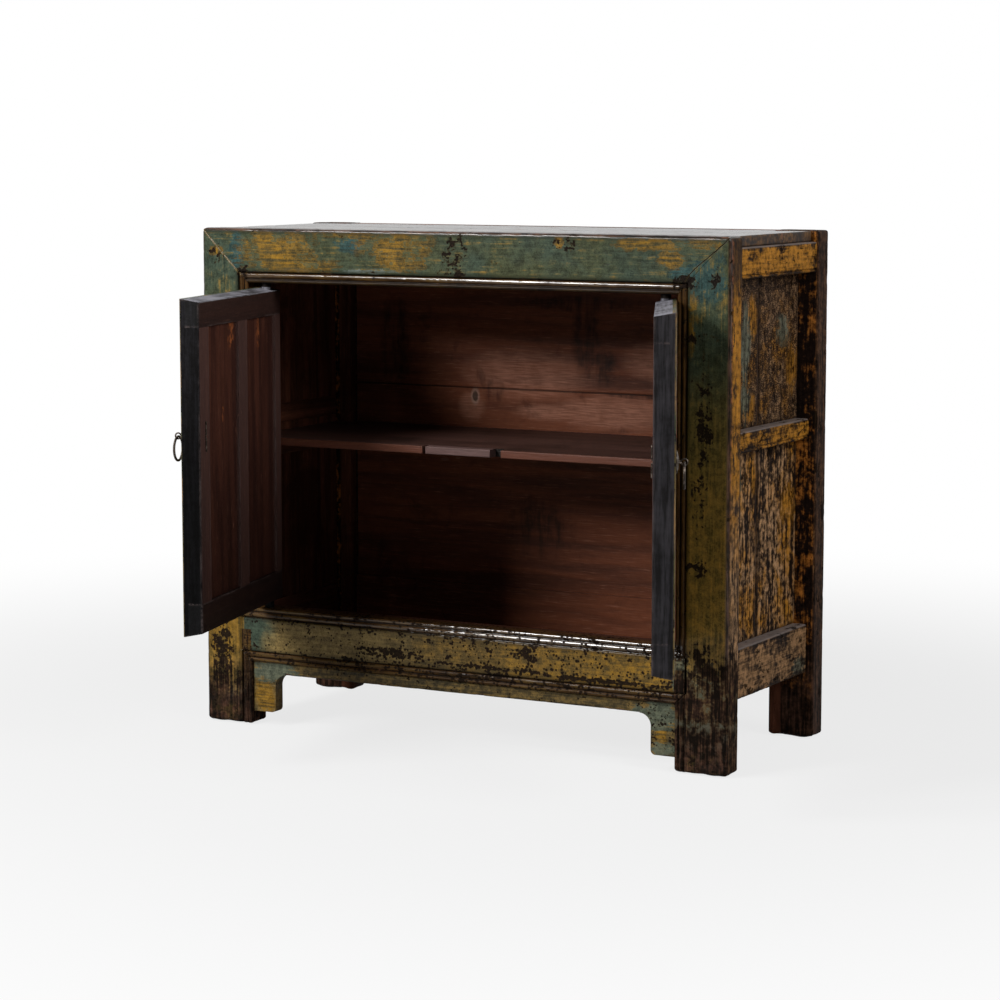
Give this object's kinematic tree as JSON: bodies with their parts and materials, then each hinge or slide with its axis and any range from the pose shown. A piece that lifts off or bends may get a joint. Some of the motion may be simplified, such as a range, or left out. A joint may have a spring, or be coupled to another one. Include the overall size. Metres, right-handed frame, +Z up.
{
  "type": "kang cabinet",
  "caption": "Low wooden cabinet with a pair of frame-and-panel doors on wooden pivots, a fixed shelf, beaded front frame and short bracketed legs.",
  "frame": {"origin": "middle of the carcass's footprint, on the floor", "axes": "+Z up, -Y out of the front, +X to the right of someone who faces the front"},
  "size_m": [1.051, 0.7399, 0.85],
  "materials": {
    "front_lacquer": "worn teal and ochre lacquer over dark wood, glossy",
    "back_post_lacquer": "worn dark brown and ochre lacquer",
    "side_rail_lacquer": "worn ochre lacquer over dark wood",
    "side_panel_lacquer": "rubbed ochre and black lacquer, rough",
    "top_lacquer": "dark brown lacquer, glossy",
    "back_wood": "stained red-brown wood, satin",
    "interior_wood": "dark red-brown wood, satin",
    "shelf_wood": "dark brown wood, satin",
    "block_wood": "pale bare wood",
    "door_frame_wood": "worn blue-black lacquer outside, dark brown inside",
    "door_panel_wood": "lacquer outside, dark red-brown wood inside",
    "pull_metal": "dull aged brass"
  },
  "bodies": {
    "carcass": {"back_bottom_rail": "back_wood", "back_left_leg": "back_post_lacquer", "back_lower_board": "back_wood", "back_right_leg": "back_post_lacquer", "back_top_rail": "back_wood", "back_upper_board": "back_wood", "bottom_back_board": "interior_wood", "bottom_front_board": "interior_wood", "front_apron": "front_lacquer", "front_apron_left_spandrel": "front_lacquer", "front_apron_right_spandrel": "front_lacquer", "front_bottom_rail": "front_lacquer", "front_left_leg": "front_lacquer", "front_right_leg": "front_lacquer", "front_top_rail": "front_lacquer", "left_lower_panel_back_board": "side_panel_lacquer", "left_lower_panel_front_board": "side_panel_lacquer", "left_side_lower_rail": "side_rail_lacquer", "left_side_middle_rail": "side_rail_lacquer", "left_side_upper_rail": "side_rail_lacquer", "left_upper_panel_back_board": "side_panel_lacquer", "left_upper_panel_front_board": "side_panel_lacquer", "right_lower_panel_back_board": "side_panel_lacquer", "right_lower_panel_front_board": "side_panel_lacquer", "right_side_lower_rail": "side_rail_lacquer", "right_side_middle_rail": "side_rail_lacquer", "right_side_upper_rail": "side_rail_lacquer", "right_upper_panel_back_board": "side_panel_lacquer", "right_upper_panel_front_board": "side_panel_lacquer", "shelf_back_board": "shelf_wood", "shelf_edge_block": "block_wood", "shelf_front_board": "shelf_wood", "shelf_left_bearer": "interior_wood", "shelf_right_bearer": "interior_wood", "top_back_board": "top_lacquer", "top_front_board": "top_lacquer"},
    "left_door": {"left_door_bottom_rail": "door_frame_wood", "left_door_hinge_side_panel": "door_panel_wood", "left_door_hinge_stile": "door_frame_wood", "left_door_lock_side_panel": "door_panel_wood", "left_door_lock_stile": "door_frame_wood", "left_door_muntin": "door_frame_wood", "left_door_top_rail": "door_frame_wood", "left_pull_eye": "pull_metal", "left_pull_plate": "pull_metal"},
    "right_door": {"right_door_bottom_rail": "door_frame_wood", "right_door_hinge_side_panel": "door_panel_wood", "right_door_hinge_stile": "door_frame_wood", "right_door_lock_side_panel": "door_panel_wood", "right_door_lock_stile": "door_frame_wood", "right_door_muntin": "door_frame_wood", "right_door_top_rail": "door_frame_wood", "right_pull_eye": "pull_metal", "right_pull_plate": "pull_metal"},
    "left_bail": {"left_pull_bail": "pull_metal"},
    "right_bail": {"right_pull_bail": "pull_metal"}
  },
  "joints": [
    {"name": "left_door_pivot", "type": "hinge", "parent": "carcass", "child": "left_door", "pos_m": [-0.373, -0.178, 0.48], "axis": [0, 0, 1], "range_deg": [-41.2, 75.8]},
    {"name": "right_door_pivot", "type": "hinge", "parent": "carcass", "child": "right_door", "pos_m": [0.373, -0.178, 0.48], "axis": [0, 0, 1], "range_deg": [-115.4, 1.6]},
    {"name": "left_bail_swing", "type": "hinge", "parent": "left_door", "child": "left_bail", "pos_m": [-0.3155, -0.52345, 0.531], "axis": [-0.2453, 0.9694, 0], "range_deg": [-14, 190]},
    {"name": "right_bail_swing", "type": "hinge", "parent": "right_door", "child": "right_bail", "pos_m": [0.5489, -0.48083, 0.531], "axis": [0.4289, -0.9033, 0], "range_deg": [-14, 190]}
  ]
}
